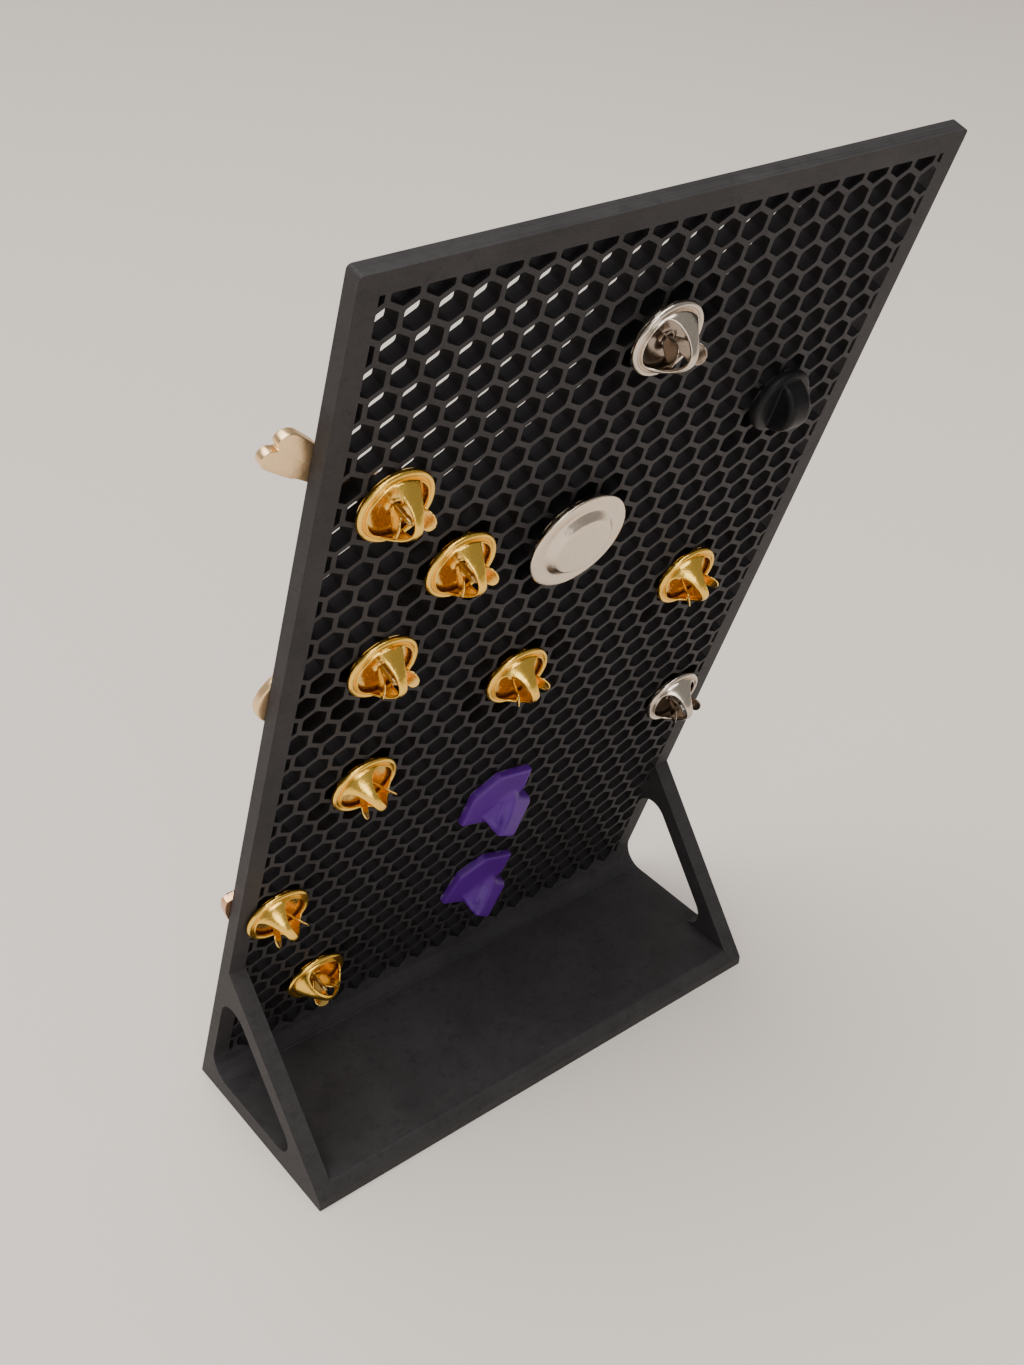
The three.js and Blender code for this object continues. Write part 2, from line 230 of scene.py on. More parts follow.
def noise_tex(nt, vec, scale, detail=3, rough=0.55, dist=0.0):
    n = node(nt, "ShaderNodeTexNoise")
    n.inputs["Scale"].default_value = scale
    n.inputs["Detail"].default_value = detail
    n.inputs["Roughness"].default_value = rough
    n.inputs["Distortion"].default_value = dist
    nt.links.new(vec, n.inputs["Vector"])
    return n.outputs["Fac"]


def ramp(nt, fac, lo, hi, a=0.0, b=1.0):
    n = node(nt, "ShaderNodeMapRange")
    n.inputs["From Min"].default_value = a
    n.inputs["From Max"].default_value = b
    n.inputs["To Min"].default_value = lo
    n.inputs["To Max"].default_value = hi
    nt.links.new(fac, n.inputs["Value"])
    return n.outputs[0]


def mix_col(nt, fac, c1, c2):
    n = node(nt, "ShaderNodeMix", data_type="RGBA")
    nt.links.new(fac, n.inputs[0])
    for i, c in ((6, c1), (7, c2)):
        if isinstance(c, tuple):
            n.inputs[i].default_value = (*c, 1)
        else:
            nt.links.new(c, n.inputs[i])
    return n.outputs[2]


def math_node(nt, op, a, b=None):
    n = node(nt, "ShaderNodeMath", operation=op)
    for i, v in enumerate((a, b)):
        if v is None:
            continue
        if isinstance(v, (int, float)):
            n.inputs[i].default_value = v
        else:
            nt.links.new(v, n.inputs[i])
    return n.outputs[0]


def bump(nt, height, distance, strength=1.0, chain=None):
    n = node(nt, "ShaderNodeBump")
    n.inputs["Strength"].default_value = strength
    n.inputs["Distance"].default_value = distance
    nt.links.new(height, n.inputs["Height"])
    if chain is not None:
        nt.links.new(chain, n.inputs["Normal"])
    return n.outputs[0]


def printed(name, col, col2, rough=(0.5, 0.68), layer=0.2, axis="Z", spec=0.5, streak=1.0, pits=False):
    """Printed plastic: layer lines across one axis, slight sheen changes, small blemishes."""
    m, nt, b = new_mat(name)
    tc = node(nt, "ShaderNodeTexCoord")
    sep = node(nt, "ShaderNodeSeparateXYZ")
    nt.links.new(tc.outputs["Object"], sep.inputs[0])
    wob = noise_tex(nt, mapped(nt, (0.05, 0.05, 0.05)), 1.0, 2)
    z = math_node(nt, "ADD", sep.outputs[axis], math_node(nt, "MULTIPLY", wob, 0.06))
    wave = math_node(nt, "SINE", math_node(nt, "MULTIPLY", z, 2 * math.pi / layer))
    sc = {"X": (2.2, 0.03, 0.03), "Y": (0.03, 2.2, 0.03), "Z": (0.03, 0.03, 2.2)}[axis]
    streaks = noise_tex(nt, mapped(nt, sc), 1.0, 4, 0.7)
    patch = noise_tex(nt, mapped(nt, (0.11, 0.11, 0.11)), 1.0, 4, 0.6)
    speck = noise_tex(nt, mapped(nt, (3.1, 3.1, 3.1)), 1.0, 2, 0.5)
    grain = noise_tex(nt, mapped(nt, (9.0, 9.0, 9.0)), 1.0, 2, 0.5)
    fac = math_node(nt, "ADD", math_node(nt, "MULTIPLY", streaks, 0.5), math_node(nt, "MULTIPLY", patch, 0.5))
    c = mix_col(nt, ramp(nt, fac, 0, 1, 0.35, 0.65), col, col2)
    pale = ramp(nt, speck, 0.0, 0.55, 0.70, 0.78)
    c = mix_col(nt, pale, c, tuple(min(1, v * 2.4 + 0.01) for v in col2))
    if pits:
        blot = noise_tex(nt, mapped(nt, (0.55, 0.55, 0.55)), 1.0, 5, 0.75, 0.6)
        c = mix_col(nt, ramp(nt, blot, 0.0, 0.65, 0.52, 0.72), c, tuple(v * 0.35 for v in col))
        dust = noise_tex(nt, mapped(nt, (1.3, 1.3, 1.3)), 1.0, 6, 0.8)
        c = mix_col(nt, ramp(nt, dust, 0.0, 0.4, 0.56, 0.72), c, tuple(v * 1.7 for v in col2))
    nt.links.new(c, b.inputs["Base Color"])
    nt.links.new(ramp(nt, math_node(nt, "ADD", math_node(nt, "MULTIPLY", streaks, 0.6), math_node(nt, "MULTIPLY", grain, 0.4)), rough[0], rough[1], 0.3, 0.7), b.inputs["Roughness"])
    n1 = bump(nt, wave, 0.000010 * streak)
    n2 = bump(nt, streaks, 0.000035 * streak, 1.0, n1)
    n3 = bump(nt, grain, 0.000014, 1.0, n2)
    nt.links.new(n3, b.inputs["Normal"])
    b.inputs["Specular IOR Level"].default_value = spec
    return m


def metal(name, col, rough=(0.16, 0.3), dents=0.00002, tint=0.08, scratch=0.000002, dark=None):
    m, nt, b = new_mat(name)
    soft = noise_tex(nt, mapped(nt, (0.35, 0.35, 0.35)), 1.0, 3)
    fine = noise_tex(nt, mapped(nt, (2.6, 2.6, 2.6)), 1.0, 4, 0.6)
    line = noise_tex(nt, mapped(nt, (14.0, 0.9, 14.0), rot=(0.3, 0.2, 0.7)), 1.0, 2, 0.5)
    lo = tuple(max(0, v * (1 - tint)) for v in col) if dark is None else dark
    hi = tuple(min(1, v * (1 + tint * 0.6)) for v in col)
    c = mix_col(nt, ramp(nt, fine, 0, 1, 0.3, 0.7), lo, hi)
    nt.links.new(c, b.inputs["Base Color"])
    b.inputs["Metallic"].default_value = 1.0
    nt.links.new(ramp(nt, math_node(nt, "ADD", math_node(nt, "MULTIPLY", fine, 0.6), math_node(nt, "MULTIPLY", line, 0.4)), rough[0], rough[1], 0.3, 0.7), b.inputs["Roughness"])
    n1 = bump(nt, soft, dents * 3)
    n2 = bump(nt, fine, dents * 0.5, 1.0, n1)
    n3 = bump(nt, line, scratch, 1.0, n2)
    nt.links.new(n3, b.inputs["Normal"])
    return m


def enamel(name, col, rough=(0.08, 0.2)):
    m, nt, b = new_mat(name)
    big = noise_tex(nt, mapped(nt, (0.5, 0.5, 0.5)), 1.0, 3)
    dust = noise_tex(nt, mapped(nt, (7.0, 7.0, 7.0)), 1.0, 3, 0.6)
    c = mix_col(nt, ramp(nt, big, 0, 1, 0.3, 0.7), tuple(v * 0.86 for v in col), tuple(min(1, v * 1.08) for v in col))
    c = mix_col(nt, ramp(nt, dust, 0, 0.35, 0.68, 0.8), c, tuple(min(1, v * 0.6 + 0.3) for v in col))
    nt.links.new(c, b.inputs["Base Color"])
    nt.links.new(ramp(nt, dust, rough[0], rough[1], 0.3, 0.7), b.inputs["Roughness"])
    b.inputs["Coat Weight"].default_value = 0.6
    b.inputs["Coat Roughness"].default_value = 0.08
    nt.links.new(bump(nt, big, 0.00003), b.inputs["Normal"])
    return m


def rubber_mat(name):
    m, nt, b = new_mat(name)
    v = noise_tex(nt, mapped(nt, (0.6, 0.6, 0.6)), 1.0, 4, 0.6)
    g = noise_tex(nt, mapped(nt, (6.0, 6.0, 6.0)), 1.0, 3, 0.6)
    dust = noise_tex(nt, mapped(nt, (3.0, 3.0, 3.0)), 1.0, 5, 0.7)
    c = mix_col(nt, ramp(nt, v, 0, 1, 0.3, 0.7), (0.004, 0.004, 0.005), (0.009, 0.009, 0.0105))
    c = mix_col(nt, ramp(nt, dust, 0, 0.5, 0.62, 0.8), c, (0.09, 0.09, 0.095))
    nt.links.new(c, b.inputs["Base Color"])
    nt.links.new(ramp(nt, g, 0.36, 0.52, 0.3, 0.7), b.inputs["Roughness"])
    nt.links.new(bump(nt, g, 0.000004, 1.0, bump(nt, v, 0.000012)), b.inputs["Normal"])
    b.inputs["Specular IOR Level"].default_value = 0.17
    return m


MAT = {
    "board": printed("board_print", (0.0178, 0.0160, 0.0174), (0.0335, 0.0308, 0.0330), rough=(0.5, 0.74), spec=0.32, streak=1.5, pits=True),
    # the cells' walls: the board's plastic made darker, painted shade inside the holes
    "cell": printed("cell_wall_painted_shade", (0.0062, 0.0054, 0.0060), (0.0096, 0.0085, 0.0093), rough=(0.7, 0.85), spec=0.14, streak=0.6),
    "purple": printed("purple_print", (0.061, 0.0039, 0.180), (0.080, 0.0057, 0.228), rough=(0.34, 0.46), axis="Z", layer=0.2, spec=0.36, streak=0.7),
    "gold": metal("gold_plate", (0.96, 0.592, 0.100), rough=(0.16, 0.28), dents=0.00004),
    # inner parts of the gold clutches: the same plating made a little paler, painted light inside the cap
    "gold_in": metal("gold_spring", (0.96, 0.63, 0.165), rough=(0.18, 0.3), dents=0.000035),
    "nickel": metal("nickel_plate", (0.66, 0.575, 0.485), rough=(0.14, 0.26)),
    # inner parts of the nickel clutches: the same plating made darker, painted shade under the cap
    "nickel_in": metal("nickel_inner_painted_shade", (0.33, 0.27, 0.22), rough=(0.16, 0.28)),
    "cover": metal("cover_plate", (0.76, 0.645, 0.52), rough=(0.16, 0.27), dents=0.00003),
    "magnet": metal("magnet_plate", (0.5, 0.49, 0.48), rough=(0.2, 0.35)),
    "rose": metal("pale_gold", (0.95, 0.67, 0.37), rough=(0.26, 0.4), dents=0.00003),
    "copper": metal("copper_plate", (0.72, 0.42, 0.24), rough=(0.2, 0.34), dents=0.00003),
    "steel": metal("pin_steel", (0.66, 0.64, 0.60), rough=(0.2, 0.34)),
    "brass": metal("pin_brass", (0.56, 0.40, 0.17), rough=(0.24, 0.38)),
    "rubber": rubber_mat("black_rubber"),
}
ENAMELS = {
    "red": (0.52, 0.02, 0.03), "pink": (0.75, 0.2, 0.28), "teal": (0.01, 0.26, 0.27), "navy": (0.01, 0.025, 0.13),
    "white": (0.78, 0.77, 0.73), "cream": (0.74, 0.62, 0.42), "honey": (0.8, 0.38, 0.02), "green": (0.02, 0.22, 0.05),
    "sky": (0.12, 0.4, 0.68), "orange": (0.78, 0.18, 0.01), "black": (0.006, 0.006, 0.007), "violet": (0.2, 0.05, 0.36),
}
for k, v in ENAMELS.items():
    MAT[k] = enamel("enamel_" + k, v)


# ------------------------------------------------------------------ board
def cell_at(j, k):
    return (PITCH * k if j % 2 == 0 else PITCH * (k + 0.5), ROW0 + ROW * j)


def clip_poly(pts, axis, limit, keep_below):
    out = []
    for p, q in zip(pts, pts[1:] + pts[:1]):
        a = (p[axis] <= limit) if keep_below else (p[axis] >= limit)
        b = (q[axis] <= limit) if keep_below else (q[axis] >= limit)
        if a:
            out.append(p)
        if a != b:
            t = (limit - p[axis]) / (q[axis] - p[axis])
            out.append((p[0] + (q[0] - p[0]) * t, p[1] + (q[1] - p[1]) * t))
    return out


def make_board():
    hip, heel = back_line(HIP), back_line((FLOOR + T * S) / C)
    toe_top, toe = (Y0 + 39.4, 2.5), (Y0 + FOOT, 1.9)

    def slope(z):
        return (toe_top[0] + (hip[0] - toe_top[0]) * (z - toe_top[1]) / (hip[1] - toe_top[1]), z)

    wall = arc_corners([(Y0, 0), (Y0 + H * S, H * C), back_line(H), heel, slope(FLOOR), toe_top, toe, (Y0 + FOOT, 0)],
                       [0, 0, 0, FILLET, 0.5, 0, 0, 0], 14)
    o = obj_from("board_mesh", across_bm(wall, -W / 2, W / 2), None)
    u = Vector((toe_top[0] - hip[0], toe_top[1] - hip[1])).normalized()
    n = Vector((-u.y, u.x))

    def inner(p):
        return Vector((p[0] - n.x * STRIP, p[1] - n.y * STRIP))

    def meet(p, d, q, e):
        k = ((q[0] - p[0]) * e[1] - (q[1] - p[1]) * e[0]) / (d[0] * e[1] - d[1] * e[0])
        return (p[0] + d[0] * k, p[1] + d[1] * k)

    top = meet(inner(hip), u, heel, (S, C))
    rear = meet(inner(hip), u, (0, FLOOR), (1, 0))
    hole = arc_corners([heel, rear, top], [FILLET, 3.6, 4.15], 14)
    gusset = [(Y0 + 1, 1), back_line(HIP - 0.01), hip, slope(FLOOR), toe_top, (Y0 + 38.7, 1)]
    for x0 in (-W / 2, W / 2 - GUSSET):
        g = obj_from("gusset", across_bm(gusset, x0, x0 + GUSSET), None)
        boolean(g, obj_from("hole", across_bm(hole, x0 - 5, x0 + 10), None), "DIFFERENCE")
        boolean(o, g, "UNION")
    for sx in (-1, 1):
        x, r = sx * W / 2, 0.7
        pts = [(x + sx * 3, H - r), (x + sx * 3, H + 3), (x - sx * r, H + 3)]
        pts += [(x - sx * r + sx * r * math.cos(t), H - r + r * math.sin(t)) for t in (math.pi / 2 * (1 - k / 6) for k in range(7))]
        bm = prism_bm(pts, -12, 8)
        bm.transform(BACK)
        bmesh.ops.recalc_face_normals(bm, faces=bm.faces)
        boolean(o, obj_from("corner", bm, None), "DIFFERENCE")
    # soften the printed outer edges a little before the mesh is cut
    bm = bmesh.new()
    bm.from_mesh(o.data)
    bmesh.ops.dissolve_limit(bm, angle_limit=math.radians(1), verts=bm.verts, edges=bm.edges)
    bm.to_mesh(o.data)
    bm.free()
    bevel(o, 0.16, 2, 28)
    field = bmesh.new()
    count = 0
    for j in range(LOWEST_ROW, 9):
        for k in range(-11, 11):
            x, y = cell_at(j, k)
            r = CELL / math.sqrt(3)
            pts = [(x + r * math.cos(math.radians(30 + 60 * i)), y + r * math.sin(math.radians(30 + 60 * i))) for i in range(6)]
            whole = pts
            for axis, lim, below in ((0, FIELD_X, True), (0, -FIELD_X, False), (1, FIELD_TOP, True)):
                pts = clip_poly(pts, axis, lim, below)
                if len(pts) < 3:
                    break
            if len(pts) < 3:
                continue
            area = 0.5 * sum(p[0] * q[1] - q[0] * p[1] for p, q in zip(pts, pts[1:] + pts[:1]))
            if area < 0.4:
                continue
            if len(pts) == 6 and all((Vector(a) - Vector(b)).length < 1e-6 for a, b in zip(pts, whole)):
                pts = arc_corners(pts, [CELL_R] * 6, 3)
            elif area > 3:
                edge = [(Vector(a) - Vector(b)).length for a, b in zip(pts, pts[1:] + pts[:1])]
                pts = arc_corners(pts, [0.3 if min(edge[i - 1], edge[i]) > 0.8 else 0 for i in range(len(pts))], 2)
            prism_bm(pts, -T - 1, 5.0, field)
            count += 1
    field.transform(BACK)
    bmesh.ops.recalc_face_normals(field, faces=field.faces)
    boolean(o, obj_from("field", field, None), "DIFFERENCE")
    print("board cells", count, "faces", len(o.data.polygons))
    o.data.materials.clear()
    o.data.materials.append(MAT["board"])
    o.data.materials.append(MAT["cell"])
    # the cells' walls get the darker cell colour, painted shade inside the holes: faces square to the panel, inside the
    # mesh field
    back = BACK.inverted()
    flat = BACK.to_3x3() @ Vector((0, 0, 1))
    for f in o.data.polygons:
        c = back @ f.center
        inside = abs(c.x) < FIELD_X - 0.05 and -T < c.z < 4.9 and c.y < FIELD_TOP - 0.05
        f.material_index = 1 if inside and abs(f.normal.dot(flat)) < 0.2 and (c.z < 0 or abs(f.normal.x) > 0.3) else 0
    smooth_by_angle(o, 25)
    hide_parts("board")
    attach(o, "board")
    return o


# ------------------------------------------------------------------ butterfly clutch
RING = [(4.7, 0.10), (5.45, 0.10), (5.74, 0.22), (5.88, 0.50), (5.86, 0.84), (5.72, 1.10), (5.46, 1.24), (5.22, 1.18), (5.06, 0.98), (4.96, 0.90),
        (4.86, 0.98), (4.80, 1.20), (4.74, 1.50)]
# the strap's centre line from the ring to the apex: radius, height, roundness across it
SPINE = [(4.74, 1.50, 0.0), (4.66, 1.68, 0.02), (4.52, 1.95, 0.04), (4.30, 2.35, 0.07), (4.0, 2.88, 0.11), (3.6, 3.48, 0.15), (3.1, 4.15, 0.18),
         (2.5, 4.82, 0.2), (1.8, 5.42, 0.21), (1.1, 5.86, 0.22), (0.5, 6.08, 0.22), (0.0, 6.15, 0.22)]
# height, half-width of a narrow strap, and how much a wide foot adds to it
FLARE = [(1.50, 2.02, 1.0), (1.75, 1.92, 0.75), (2.1, 1.80, 0.50), (2.4, 1.70, 0.31), (3.0, 1.53, 0.12), (3.6, 1.34, 0.02), (4.3, 1.08, 0.0),
         (5.0, 0.88, 0.0), (5.6, 0.74, 0.0), (6.2, 0.68, 0.0)]
NSEG = 72
FOOT_AT = {2.1: 13, 2.9: 10, 3.6: 8}          # first ring segment of the strap's foot


def strap_width(z, foot):
    zs = [f[0] for f in FLARE]
    return float(np.interp(z, zs, [f[1] for f in FLARE]) + (foot - 2.02) * np.interp(z, zs, [f[2] for f in FLARE]))


def cap_bm(kind):
    bm = bmesh.new()
    rows = [[bm.verts.new((r * math.cos(2 * math.pi * i / NSEG), r * math.sin(2 * math.pi * i / NSEG), z)) for i in range(NSEG)] for r, z in RING]
    for a, b in zip(rows[:-1], rows[1:]):
        for i in range(NSEG):
            j = (i + 1) % NSEG
            bm.faces.new((a[i], a[j], b[j], b[i]))
    foot = rows[-1]
    i0 = FOOT_AT[kind]
    cols = list(range(i0, NSEG // 2 - i0 + 1))
    half = SPINE[0][0] * math.cos(2 * math.pi * i0 / NSEG)
    lane = [[foot[i] for i in cols]]
    seq = [(p, 1) for p in SPINE[1:]] + [(p, -1) for p in SPINE[-2:0:-1]]
    for (r, z, roll), sign in seq:
        w = max(0.0, min(1.0, (r - 1.0) / 2.4))
        s = min(strap_width(z, half), 0.93 * r) if r > 1.2 else strap_width(z, half)
        row = []
        for i in cols:
            u = math.cos(2 * math.pi * i / NSEG) / math.cos(2 * math.pi * i0 / NSEG)
            x = u * s
            y = w * math.sqrt(max(0.0, r * r - x * x)) + (1 - w) * r
            row.append(bm.verts.new((x, sign * y, z - roll * u * u)))
        lane.append(row)
    lane.append([foot[(NSEG - i) % NSEG] for i in cols])
    for a, b in zip(lane[:-1], lane[1:]):
        for i in range(len(cols) - 1):
            bm.faces.new((a[i], a[i + 1], b[i + 1], b[i]))
    bmesh.ops.recalc_face_normals(bm, faces=bm.faces)
    bm.normal_update()
    # turned-in lip round both openings
    edges = [e for e in bm.edges if e.is_boundary and min(v.co.z for v in e.verts) > 1.0]
    ref = max(bm.verts, key=lambda v: v.co.z)
    flip = -1 if ref.normal.z < 0 else 1
    nor = {v: v.normal.copy() * flip for e in edges for v in e.verts}
    ext = bmesh.ops.extrude_edge_only(bm, edges=edges)["geom"]
    for v in [g for g in ext if isinstance(g, bmesh.types.BMVert)]:
        src = min(nor, key=lambda q: (q.co - v.co).length_squared)
        away = Vector((1 if v.co.x > 0 else -1, 0, 0))
        v.co = v.co - nor[src] * 0.34 + away * 0.12 + Vector((0, 0, -0.04))
    bmesh.ops.recalc_face_normals(bm, faces=bm.faces)
    return bm


def plate_bm():
    # base plate with a raised collar round the post
    return lathe_bm([(0.78, 0.36), (0.78, 0.80), (0.98, 0.86), (1.22, 0.70), (1.45, 0.50), (2.2, 0.46), (3.0, 0.60), (4.0, 0.62), (4.9, 0.50), (5.0, 0.30), (4.6, 0.24), (1.0, 0.24)], 48)


def wing_bm(side):
    bm = bmesh.new()
    line = [(0.74, 0.98, 0.5), (0.93, 1.12, 0.66), (1.17, 1.48, 0.8), (1.42, 2.02, 0.95), (1.68, 2.60, 1.15), (1.93, 3.15, 1.38), (2.17, 3.68, 1.56),
            (2.40, 4.18, 1.62), (2.60, 4.62, 1.54), (2.77, 4.98, 1.3), (2.88, 5.24, 0.95), (2.95, 5.40, 0.55), (2.97, 5.46, 0.18)]
    rows = []
    for x, z, w in line:
        rows.append([bm.verts.new((side * (x - 0.05 * (u * u)), side * u * w, z + 0.10 * u * u * min(1, w / 1.5))) for u in np.linspace(-1, 1, 9)])
    for a, b in zip(rows[:-1], rows[1:]):
        for i in range(8):
            bm.faces.new((a[i], a[i + 1], b[i + 1], b[i]))
    bmesh.ops.recalc_face_normals(bm, faces=bm.faces)
    return bm


# number, mesh cell, the post's shift in it, turn, strap foot, lift off the panel, metal
CLUTCHES = [
    (1, (0, -8), (0.25, -0.6), -6, 2.1, 0.0, "gold"), (2, (-4, -5), (0.15, -0.6), 2, 2.1, 0.0, "gold"), (3, (-8, -7), (0.15, -0.6), 0, 2.1, 0.0, "gold"),
    (4, (-12, -1), (0.25, -0.6), 14, 3.6, 0.0, "gold"), (5, (-15, -7), (0.1, -0.6), 36, 3.6, 0.0, "gold"), (6, (-22, -9), (0.5, 0.0), 32, 2.9, 0.0, "gold"),
    (7, (-29, -7), (0.5, -0.4), -106, 3.6, 0.0, "gold"), (8, (-10, 6), (-0.35, -0.35), 24, 3.6, 0.0, "gold"),
    (9, (4, 0), (0.15, -0.6), -12, 2.9, 1.5, "nickel"), (10, (-19, 8), (-0.45, -0.35), 7, 3.6, 0.0, "nickel"),
]


def spot(cell, shift):
    x, y = cell_at(*cell)
    return (x + shift[0], y + shift[1])


def thicken(o, t, offset=-1.0, sub=2, rim=True):
    m = o.modifiers.new("solid", "SOLIDIFY")
    m.thickness = t
    m.offset = offset
    m.use_rim = rim
    m = o.modifiers.new("sub", "SUBSURF")
    m.levels = m.render_levels = sub
    bpy.context.view_layer.update()
    apply_all(o)
    o.data.polygons.foreach_set("use_smooth", [True] * len(o.data.polygons))
    return o


def make_clutches():
    caps0 = {kind: thicken(obj_from("cap0", cap_bm(kind), MAT["gold"]), 0.2, sub=1) for kind in FOOT_AT}
    plate0 = obj_from("plate0", plate_bm(), MAT["gold"], smooth=True)
    # the wings take the inner colour, painted light inside the gold cap
    wings0 = {side: thicken(obj_from("wing0", wing_bm(side), MAT["gold_in"]), 0.24, offset=0, sub=1) for side in (1, -1)}
    for cap0 in caps0.values():
        bm = bmesh.new()
        bm.from_mesh(cap0.data)
        outside = len(bm.faces)
        bm.from_mesh(plate0.data)
        # the base plate takes the inner colour too, painted light or painted shade by metal
        bm.faces.ensure_lookup_table()
        for f in bm.faces[outside:]:
            f.material_index = 1
        cap0.data.materials.append(MAT["gold_in"])
        bm.to_mesh(cap0.data)
        bm.free()
        cap0.data.polygons.foreach_set("use_smooth", [True] * len(cap0.data.polygons))
    for n, cell, shift, turn, foot, lift, kind in CLUTCHES:
        x, y = spot(cell, shift)
        mtx = MM @ BACK @ Matrix.Translation((x, y, lift)) @ Matrix.Rotation(math.radians(turn), 4, "Z")
        cap = caps0[foot].copy()
        cap.data = caps0[foot].data.copy()
        cap.name = cap.data.name = f"clutch_{n}_shell"
        bpy.context.scene.collection.objects.link(cap)
        cap.matrix_world = mtx
        cap.data.materials[0] = MAT[kind]
        # inner colour for the wings and base plate: paler gold is painted light, darker nickel is painted shade
        cap.data.materials[1] = MAT[kind + "_in"]
        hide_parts(f"clutch_{n}_cap")
        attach(cap, f"clutch_{n}")
        for tag, side in (("right", 1), ("left", -1)):
            w = wings0[side].copy()
            w.data = wings0[side].data.copy()
            w.name = w.data.name = f"clutch_{n}_leaf_{tag}"
            bpy.context.scene.collection.objects.link(w)
            w.matrix_world = mtx
            w.data.materials[0] = MAT[kind + "_in"]
            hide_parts(f"clutch_{n}_wing_{tag}")
            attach(w, f"clutch_{n}_{tag}")
    for o in (*caps0.values(), plate0, *wings0.values()):
        bpy.data.objects.remove(o, do_unlink=True)


# ------------------------------------------------------------------ rubber clutch
def make_rubber():
    x, y = spot((-1, 6), (0.6, -0.8))
    mtx = BACK @ Matrix.Translation((x, y, 0))
    disc = obj_from("rubber_clutch_body", lathe_bm([(0, 0.35), (4.7, 0.35), (5.15, 0.5), (5.38, 0.85), (5.4, 1.6), (5.25, 2.05), (4.9, 2.3), (3.2, 2.45), (0, 2.5)], 64, closed=False), None)
    pts = [(4.15, 1.0)] + [(4.15 * math.cos(math.pi * k / 24), 2.0 + 4.15 * math.sin(math.pi * k / 24)) for k in range(25)] + [(-4.15, 1.0)]
    bm = prism_bm(pts, -2.1, 2.1)
    # (y, z) outline, 4.2 thick across x
    bm.transform(Matrix(((0, 0, 1, 0), (1, 0, 0, 0), (0, 1, 0, 0), (0, 0, 0, 1))))
    bmesh.ops.recalc_face_normals(bm, faces=bm.faces)
    fin = bevel(obj_from("fin", bm, None), 0.75, 4, 40)
    boolean(disc, fin, "UNION")
    bore = obj_from("bore", lathe_bm([(0, -1), (0.85, -1), (0.85, 5.2), (0, 5.2)], 24, closed=False), None)
    boolean(disc, bore, "DIFFERENCE")
    m = disc.modifiers.new("v", "REMESH")
    m.mode = "VOXEL"
    m.voxel_size = 0.1
    m = disc.modifiers.new("s", "SMOOTH")
    m.factor = 0.5
    m.iterations = 16
    bpy.context.view_layer.update()
    apply_all(disc)
    disc.matrix_world = MM @ mtx
    disc.data.materials.clear()
    disc.data.materials.append(MAT["rubber"])
    disc.data.polygons.foreach_set("use_smooth", [True] * len(disc.data.polygons))
    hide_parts("rubber_clutch")
    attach(disc, "rubber_clutch")


# ------------------------------------------------------------------ magnetic back
MAGNET_AT = (-3.2, 123.9)


def make_magnet():
    mtx = BACK @ Matrix.Translation((*MAGNET_AT, 0))
    mag = obj_from("magnet_disc", lathe_bm([(0, 0.31), (4.25, 0.31), (4.4, 0.46), (4.4, 2.8), (4.25, 2.95), (0, 2.95)], 72, closed=False), MAT["magnet"], mtx)
    smooth_by_angle(mag, 40)
    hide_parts("magnet")
    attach(mag, "magnetic_back")
    prof = [(6.62, 0.62), (6.86, 0.58), (7.02, 0.7), (7.08, 1.1), (7.14, 1.62), (7.34, 1.86), (7.7, 1.92), (8.2, 1.9), (8.42, 1.98), (8.52, 2.14), (8.48, 2.32), (8.3, 2.44),
            (7.9, 2.47), (7.0, 2.44), (6.4, 2.42), (6.16, 2.45), (5.98, 2.56), (5.5, 3.02), (5.02, 3.46), (4.88, 3.56), (4.7, 3.62), (4.4, 3.64), (2.2, 3.65), (0, 3.65), (0, 3.42), (4.5, 3.40), (6.0, 2.1), (6.5, 1.70)]
    cov = obj_from("magnet_cap", lathe_bm(prof, 96), MAT["cover"], mtx, smooth=True)
    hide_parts("magnet_cover")
    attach(cov, "magnetic_back")


# ------------------------------------------------------------------ clips
CLIPS = [(1, (-20, 0), (0.25, 58.6), 34), (2, (-27, 0), (3.2, 31.1), 25)]
FIN_IN, FIN_OUT, SKEW = -4.1, -8.3, 1.7       # the grip's two faces, and how far its outer face is shifted along it
GRIP = [(-4.35, 0.12), (2.95, 0.12), (2.95, 2.1), (2.75, 2.65), (2.31, 3.0), (-3.3, 5.85), (-3.85, 5.95), (-4.35, 5.55)]


